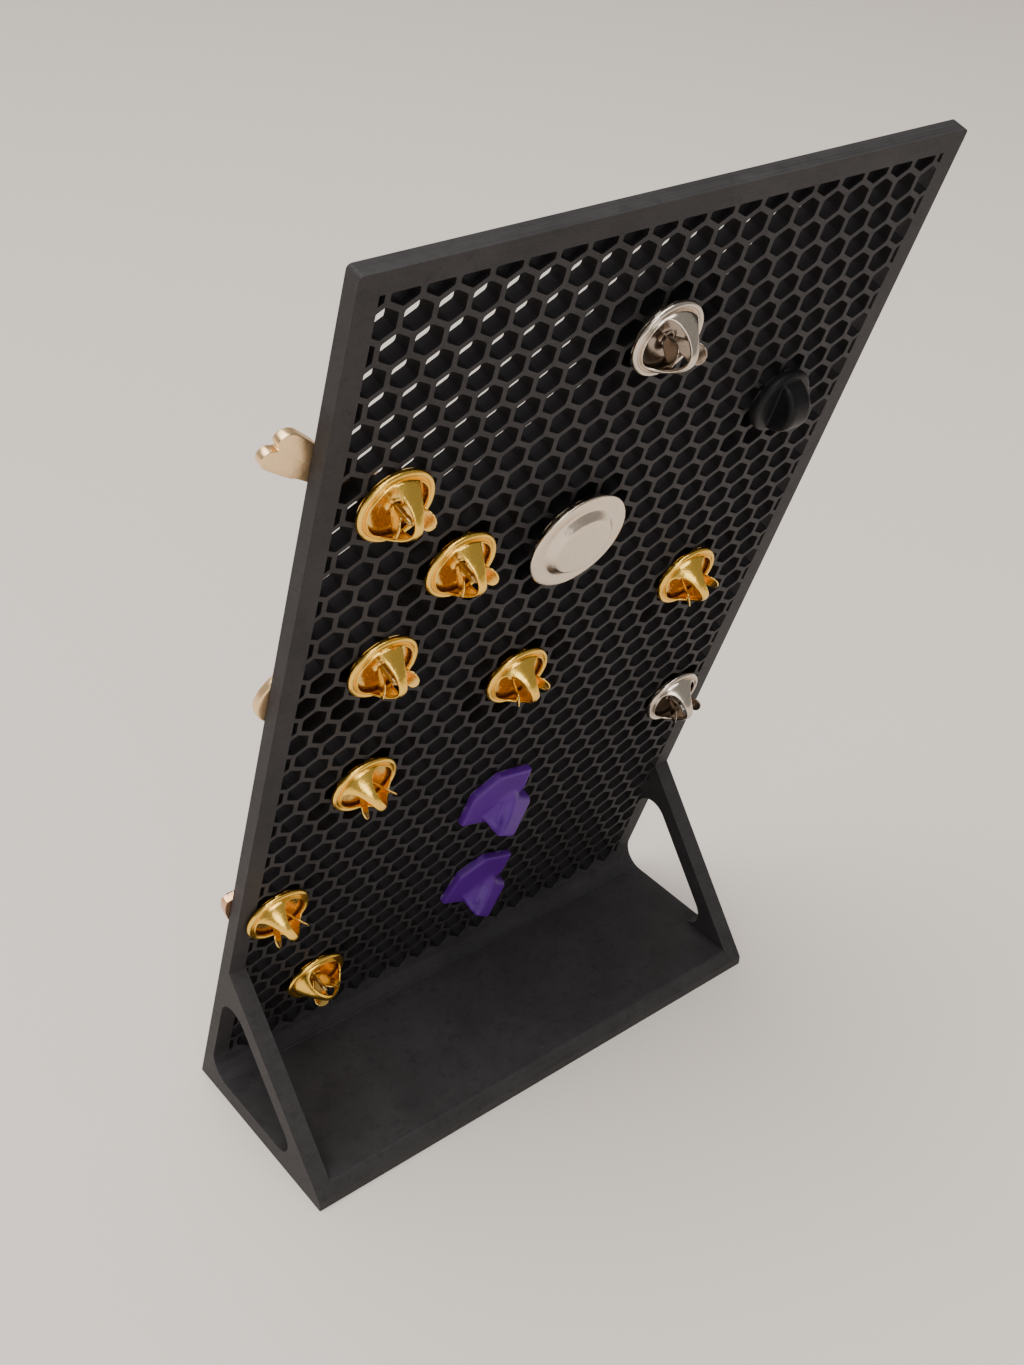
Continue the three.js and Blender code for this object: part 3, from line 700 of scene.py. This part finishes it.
def make_clips():
    for n, cell, at, turn in CLIPS:
        px, py = cell_at(*cell)
        d = Matrix.Rotation(-math.radians(turn), 2) @ Vector((px - at[0], py - at[1]))
        base = [(-4.75, -4.5), (4.75, -4.5), (8.0, 0), (3.05, 5.62), (-3.05, 5.62), (-8.0, 0)]
        o = obj_from(f"mesh_clip_{n}_print", prism_bm(base, 0.12, 1.8), None)
        # the grip, its outer face shifted along
        bm = bmesh.new()
        a = [bm.verts.new((x, FIN_IN, z)) for x, z in GRIP]
        b = [bm.verts.new((x + SKEW, FIN_OUT, z)) for x, z in GRIP]
        bm.faces.new(a)
        bm.faces.new(b[::-1])
        for i in range(len(GRIP)):
            j = (i + 1) % len(GRIP)
            bm.faces.new((a[i], b[i], b[j], a[j]))
        bmesh.ops.recalc_face_normals(bm, faces=bm.faces)
        boolean(o, obj_from("grip", bm, None), "UNION")
        # the hollow curve from the flange up into the grip's inner face
        prof = [(FIN_IN - 0.4, 0.3), (FIN_IN - 0.4, 6.6), (FIN_IN, 6.6)]
        for k in range(15):
            t = math.pi / 2 * k / 14
            prof.append((FIN_IN + 3.3 * (1 - math.cos(t)), 4.9 - 3.12 * math.sin(t)))
        prof.append((FIN_IN + 3.3, 0.3))
        bm = prism_bm(prof, -4.3, 4.0)
        bm.transform(Matrix(((0, 0, 1, 0), (1, 0, 0, 0), (0, 1, 0, 0), (0, 0, 0, 1))))
        bmesh.ops.recalc_face_normals(bm, faces=bm.faces)
        g = obj_from("sweep", bm, None)
        top = [(-4.3, 0.2), (3.6, 0.2), (3.3, 1.78), (2.9, 2.1), (2.70, 2.6), (2.25, 2.97), (-3.3, 5.8), (-3.85, 5.9), (-4.3, 5.5)]
        bm = prism_bm(top, 0, 12)
        bm.transform(Matrix(((1, 0, 0, 0), (0, 0, 1, -9), (0, 1, 0, 0), (0, 0, 0, 1))))
        bmesh.ops.recalc_face_normals(bm, faces=bm.faces)
        boolean(g, obj_from("trim", bm, None), "INTERSECT")
        boolean(o, g, "UNION")
        peg = lathe_bm([(0, -T), (1.3, -T), (1.5, -T + 0.25), (1.5, 0.6), (0, 0.6)], 32, closed=False)
        peg.transform(Matrix.Translation((d.x, d.y, 0)))
        boolean(o, obj_from("peg", peg, None), "UNION")
        groove = bmesh.new()
        for end in ((-2.67, -3.86, 3.74), (0.27, -2.56, 2.26)):
            ball = bmesh.new()
            bmesh.ops.create_icosphere(ball, subdivisions=2, radius=0.4, matrix=Matrix.Translation(end))
            for v in ball.verts:
                groove.verts.new(v.co)
            ball.free()
        bmesh.ops.convex_hull(groove, input=list(groove.verts))
        bmesh.ops.delete(groove, geom=[v for v in groove.verts if not v.link_faces], context="VERTS")
        bmesh.ops.recalc_face_normals(groove, faces=groove.faces)
        boolean(o, obj_from("groove", groove, None), "DIFFERENCE")
        m = o.modifiers.new("v", "REMESH")
        m.mode = "VOXEL"
        m.voxel_size = 0.16
        m = o.modifiers.new("s", "SMOOTH")
        m.factor = 0.5
        m.iterations = 50
        bpy.context.view_layer.update()
        apply_all(o)
        o.data.polygons.foreach_set("use_smooth", [True] * len(o.data.polygons))
        o.data.materials.clear()
        o.data.materials.append(MAT["purple"])
        o.matrix_world = MM @ BACK @ Matrix.Translation((*at, 0)) @ Matrix.Rotation(math.radians(turn), 4, "Z")
        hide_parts(f"mesh_clip_{n}")
        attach(o, f"clip_{n}")


# ------------------------------------------------------------------ badges
def ell(cx, cy, rx, ry, n, tilt=0.0):
    out = []
    for i in range(n):
        t = 2 * math.pi * (i + 0.5) / n
        x, y = rx * math.cos(t), ry * math.sin(t)
        out.append((cx + x * math.cos(tilt) - y * math.sin(tilt), cy + x * math.sin(tilt) + y * math.cos(tilt)))
    return out


def ngon(r, n, turn=0.0, cx=0.0, cy=0.0):
    return [(cx + r * math.cos(2 * math.pi * i / n + turn), cy + r * math.sin(2 * math.pi * i / n + turn)) for i in range(n)]


def star(n, r1, r2, cx=0.0, cy=0.0, turn=math.pi / 2):
    return [(cx + (r2 if i % 2 else r1) * math.cos(math.pi * i / n + turn), cy + (r2 if i % 2 else r1) * math.sin(math.pi * i / n + turn)) for i in range(2 * n)]


def heart(s, n=72):
    out = []
    for i in range(n):
        t = 2 * math.pi * i / n
        out.append((-s * math.sin(t) ** 3, s * (13 * math.cos(t) - 5 * math.cos(2 * t) - 2 * math.cos(3 * t) - math.cos(4 * t)) / 16))
    return out


def turned2(pts, a, dx=0.0, dy=0.0):
    return [(x * math.cos(a) - y * math.sin(a) + dx, x * math.sin(a) + y * math.cos(a) + dy) for x, y in pts]


def scaled(pts, k, cx=None, cy=None):
    if cx is None:
        cx = sum(p[0] for p in pts) / len(pts)
        cy = sum(p[1] for p in pts) / len(pts)
    return [(cx + (x - cx) * k, cy + (y - cy) * k) for x, y in pts]


def inset(pts, d):
    area = sum(p[0] * q[1] - q[0] * p[1] for p, q in zip(pts, list(pts[1:]) + [pts[0]]))
    if area < 0:
        pts = list(pts)[::-1]
    out = []
    for i, p in enumerate(pts):
        a, b, c = Vector(pts[i - 1]), Vector(p), Vector(pts[(i + 1) % len(pts)])
        u, v = (b - a).normalized(), (c - b).normalized()
        n1, n2 = Vector((-u.y, u.x)), Vector((-v.y, v.x))
        out.append(tuple(b + (n1 + n2) * (d / max(0.4, 1 + n1.dot(n2)))))
    return out


def spline(pts, n=4):
    """Closed smooth curve through the points."""
    out, m = [], len(pts)
    for i in range(m):
        p0, p1, p2, p3 = (Vector(pts[(i + k) % m]) for k in (-1, 0, 1, 2))
        for k in range(n):
            t = k / n
            out.append(tuple(0.5 * (2 * p1 + (p2 - p0) * t + (2 * p0 - 5 * p1 + 4 * p2 - p3) * t * t + (3 * p1 - p0 - 3 * p2 + p3) * t ** 3)))
    return out


FRONT = -T - 0.3                      # the plates' backs, as in the solid model
# a bone about its post, long way along x: two lobes at each end
BONE = [(19.3, 3.75), (20.6, 3.65), (21.4, 3), (21.6, 2.2), (21.2, 1.4), (20.1, 0.85), (20.9, 0.3), (21.1, -0.5), (20.6, -1.4), (19.6, -1.9), (18.2, -1.9),
        (15.5, -1.7), (12.5, -1.25), (-1.5, -1.25), (-4.5, -1.7), (-7.5, -1.9), (-8.9, -1.4), (-9.4, -0.5), (-9.2, 0.3), (-8.5, 0.85), (-9.2, 1.4),
        (-9.6, 2.2), (-9.4, 3), (-8.6, 3.65), (-7.4, 3.75), (-4.5, 3.6), (-1.5, 3.2), (12.5, 3.2), (15.5, 3.6)]
SHIELD = [(-8.0, 3.6), (-7.8, 4.4), (-7.1, 4.8), (0, 5.4), (7.1, 4.8), (7.8, 4.4), (8.0, 3.6), (7.8, 1.8), (7.3, 0.1), (6.7, -1.4), (5.0, -4.6), (2.6, -7.4),
          (0, -9.2), (-2.6, -7.4), (-5.0, -4.6), (-6.7, -1.4), (-7.3, 0.1), (-7.8, 1.8)]


def make_badge(n, at, metal_key, outline, fills, wires=()):
    """fills: (outline, enamel); wires: metal shapes on top. Drawn on the plate's front."""
    mats = [MAT[metal_key]]
    z0, z1 = FRONT + 0.22, FRONT - 1.2
    o = obj_from(f"badge_{n}_plate", prism_bm(outline, z1, z0), None)
    bevel(o, 0.38, 4, 40)
    smooth_by_angle(o, 40)
    bm = bmesh.new()
    bm.from_mesh(o.data)
    for f in bm.faces:
        f.material_index = 0

    def add(pts, height, mat_key, inset):
        if MAT[mat_key] not in mats:
            mats.append(MAT[mat_key])
        part = obj_from("part", prism_bm(pts, z1 - height, z1 + 0.3), None)
        bevel(part, inset, 2, 50)
        smooth_by_angle(part, 40)
        before = len(bm.faces)
        bm.from_mesh(part.data)
        bm.faces.ensure_lookup_table()
        for f in bm.faces[before:]:
            f.material_index = mats.index(MAT[mat_key])
        bpy.data.objects.remove(part, do_unlink=True)

    for pts, key, h in fills:
        add(pts, h, key, 0.05)
    for pts, h in wires:
        add(pts, h, metal_key, 0.06)
    o.data.materials.clear()          # before the faces go in, because it resets their slots
    for m in mats:
        o.data.materials.append(m)
    bm.to_mesh(o.data)
    bm.free()
    smooth_by_angle(o, 40)
    o.matrix_world = MM @ BACK @ Matrix.Translation((*at, 0))
    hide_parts(f"badge_{n}")
    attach(o, f"badge_{n}")
    return o


def make_badges():
    at = {c[0]: spot(c[1], c[2]) for c in CLUTCHES}
    at[11] = spot((-1, 6), (0.6, -0.8))
    at[12] = MAGNET_AT
    rad = math.radians

    bone = turned2(spline(BONE), rad(142.2), -0.15, 0.4)
    make_badge(1, at[1], "rose", bone, [(inset(bone, 0.75), "cream", 0.08)],
               [(turned2([(x * 0.9 + 6, y * 0.55 + 1.0) for x, y in star(5, 2.2, 1.0)], rad(142.2), -0.15, 0.4), 0.13)])
    c = ell(0, 0, 8.6, 8.6, 64)
    make_badge(2, at[2], "gold", c, [(ell(0, 0, 7.7, 7.7, 64), "teal", 0.08)], [(star(6, 6.0, 3.3), 0.16), (ell(0, 0, 1.4, 1.4, 24), 0.2)])
    ex, ey = -5.65, -3.4
    make_badge(3, at[3], "rose", ell(ex, ey, 12.5, 7.6, 72),
               [(ell(ex, ey, 11.6, 6.7, 72), "teal", 0.08), (ell(ex, ey, 8.6, 4.4, 56), "cream", 0.12), (ell(ex, ey, 3.2, 3.2, 40), "orange", 0.15)],
               [(star(8, 1.9, 1.0, ex, ey), 0.19)])
    make_badge(4, at[4], "gold", ell(0, 0, 9.8, 9.8, 72),
               [(ell(0, 0, 8.9, 8.9, 72), "cream", 0.07)] + [(ell(4.7 * math.cos(rad(60 * i)), 4.7 * math.sin(rad(60 * i)), 2.15, 2.15, 32), "pink", 0.12) for i in range(6)]
               + [(ell(0, 0, 2.1, 2.1, 32), "honey", 0.14)])
    hx = ngon(9.2, 6, math.pi / 6)
    make_badge(5, at[5], "gold", hx, [(ngon(8.2, 6, math.pi / 6), "honey", 0.08)],
               [(ngon(2.4, 6, math.pi / 6), 0.15)] + [(ngon(1.5, 6, math.pi / 6, 5.0 * math.cos(rad(60 * i)), 5.0 * math.sin(rad(60 * i))), 0.15) for i in range(6)])
    sh = turned2(spline(SHIELD, 3), 0, -0.4, 0.2)
    make_badge(6, at[6], "copper", sh, [(inset(sh, 0.85), "navy", 0.08)],
               [([(-5.4, 3.0), (-3.4, 3.6), (3.6, -3.6), (2.2, -4.8)], 0.14), ([(-5.6, 0.0), (-5.3, 1.2), (0.2, -6.4), (-0.6, -7.2)], 0.14)])
    rr = arc_corners([(-8, -6), (8, -6), (8, 6), (-8, 6)], [2, 2, 2, 2], 8)
    make_badge(7, at[7], "gold", rr, [([(-7.1, -5.1), (-2.5, -5.1), (-2.5, 5.1), (-7.1, 5.1)], "sky", 0.08), ([(-2.1, -5.1), (2.1, -5.1), (2.1, 5.1), (-2.1, 5.1)], "white", 0.08),
                                     ([(2.5, -5.1), (7.1, -5.1), (7.1, 5.1), (2.5, 5.1)], "green", 0.08)])
    st = star(5, 10.5, 5.6)
    make_badge(8, at[8], "gold", st, [(star(5, 8.7, 4.75), "sky", 0.08)], [(star(5, 3.6, 1.7), 0.15)])
    make_badge(9, at[9], "steel", ell(0, 0, 11, 7, 64), [(ell(0, 0, 10.1, 6.1, 64), "sky", 0.07), ([(-8.0, -3.4), (-4.5, 1.6), (-1.6, -2.0), (2.0, 3.6), (7.4, -3.6), (3.5, -5.3), (-3.5, -5.3)], "green", 0.12)],
               [])
    make_badge(10, at[10], "steel", ell(0, 0, 8.2, 8.2, 64), [(ell(0, 0, 7.3, 7.3, 64), "navy", 0.08)],
               [([(4.6 * math.cos(rad(a)) - 0.6, 4.6 * math.sin(rad(a))) for a in range(60, 301, 12)] + [(1.3 + 3.7 * math.cos(rad(a)), 3.7 * math.sin(rad(a))) for a in range(288, 71, -12)], 0.15),
                (star(4, 1.3, 0.5, 3.6, 2.6), 0.15), (star(4, 1.0, 0.4, 3.4, -2.4), 0.15)])
    tr = arc_corners([(-9, -7), (9, -7), (0, 9.5)], [2.5, 2.5, 2.5], 8)
    make_badge(11, at[11], "steel", tr, [(scaled(tr, 0.82, 0, -1.8), "orange", 0.08)], [(ell(0, -2.0, 2.3, 2.3, 32), 0.15)])
    make_badge(12, at[12], "steel", ell(0, 0, 10.6, 10.6, 80), [(ell(0, 0, 9.7, 9.7, 80), "white", 0.07), (ell(0, 0, 7.4, 7.4, 64), "violet", 0.11)],
               [(star(8, 6.4, 3.0), 0.18), (ell(0, 0, 1.6, 1.6, 32), 0.24)])

    full = [(0, -T - 0.08), (1.0, -T - 0.08), (1.0, -T + 0.3), (0.82, -T + 0.42), (0.6, -T + 0.5), (0.55, -T + 0.8), (0.55, 2.2), (0.48, 2.5), (0.46, 2.8), (0.53, 3.05), (0.54, 3.5), (0.3, 4.15), (0, 4.6)]
    thin = [(0, -T - 0.08), (0.55, -T - 0.08), (0.55, 2.4), (0.46, 2.7), (0.54, 3.0), (0.5, 3.5), (0.25, 4.1), (0, 4.4)]
    for n in range(1, 12):
        o = obj_from(f"badge_{n}_pin", lathe_bm(thin if n == 11 else full, 28, closed=False), MAT["brass" if n < 9 else "steel"], BACK @ Matrix.Translation((*at[n], 0)), smooth=True)
        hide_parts(f"badge_{n}_post")
        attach(o, f"badge_{n}")


# ------------------------------------------------------------------ stage
def plain(name, col, rough):
    m, nt, b = new_mat(name)
    v = noise_tex(nt, mapped(nt, (2.0, 2.0, 2.0)), 1.0, 3)
    nt.links.new(mix_col(nt, ramp(nt, v, 0, 1, 0.3, 0.7), tuple(c * 0.985 for c in col), col), b.inputs["Base Color"])
    b.inputs["Roughness"].default_value = rough
    return m


def make_stage():
    bm = bmesh.new()
    # floor that sweeps up into a backdrop beyond the board's front
    prof = [(1.6, 0.0), (-0.9, 0.0)]
    for k in range(1, 17):
        t = math.pi / 2 * k / 16
        prof.append((-0.9 - 0.7 * math.sin(t), 0.7 * (1 - math.cos(t))))
    prof.append((-1.6, 2.6))
    rows = [[bm.verts.new((x, y, z)) for x in (-2.6, 2.6)] for y, z in prof]
    for a, b in zip(rows[:-1], rows[1:]):
        bm.faces.new((a[0], a[1], b[1], b[0]))
    bmesh.ops.recalc_face_normals(bm, faces=bm.faces)
    me = bpy.data.meshes.new("stage_floor")
    bm.to_mesh(me)
    bm.free()
    o = bpy.data.objects.new("stage_floor", me)
    bpy.context.scene.collection.objects.link(o)
    me.materials.append(plain("floor_paper", (0.80, 0.735, 0.675), 0.8))
    me.polygons.foreach_set("use_smooth", [True] * len(me.polygons))

    def area(name, loc, target, size, watts, col=(1, 1, 1)):
        li = bpy.data.lights.new(name, "AREA")
        li.shape = "RECTANGLE"
        li.size, li.size_y = size
        li.energy = watts
        li.color = col
        ob = bpy.data.objects.new(name, li)
        ob.location = loc
        ob.rotation_mode = "QUATERNION"
        ob.rotation_quaternion = (Vector(target) - Vector(loc)).to_track_quat("-Z", "Y")
        bpy.context.scene.collection.objects.link(ob)

    area("key", (0.4, 0.1, 1.6), (0, 0, 0.05), (1.6, 1.6), 41.0, (1.0, 0.98, 0.955))
    area("window", (0.67, 1.36, 0.56), (0, 0, 0.09), (0.65, 0.65), 5.5, (1.0, 0.985, 0.96))
    w = bpy.data.worlds.new("world")
    bpy.context.scene.world = w
    w.use_nodes = True
    bg = w.node_tree.nodes["Background"]
    bg.inputs[0].default_value = (0.93, 0.91, 0.885, 1)
    bg.inputs[1].default_value = 0.34


def make_camera():
    cam = bpy.data.cameras.new("cam")
    cam.sensor_fit = "AUTO"
    cam.sensor_width = 36.0
    cam.lens = 43.747
    cam.clip_start, cam.clip_end = 0.01, 20
    cam.dof.use_dof = False
    o = bpy.data.objects.new("cam", cam)
    bpy.context.scene.collection.objects.link(o)
    m = Matrix(((-0.78239152, -0.33205678, 0.52687931, 0.14295), (0.62201109, -0.45884897, 0.63447602, 0.17748),
                (0.03107597, 0.82413343, 0.56554254, 0.23411), (0, 0, 0, 1)))
    o.matrix_world = m
    bpy.context.scene.camera = o


make_board()
make_clutches()
make_rubber()
make_magnet()
make_clips()
make_badges()
make_stage()
make_camera()

bpy.context.view_layer.update()
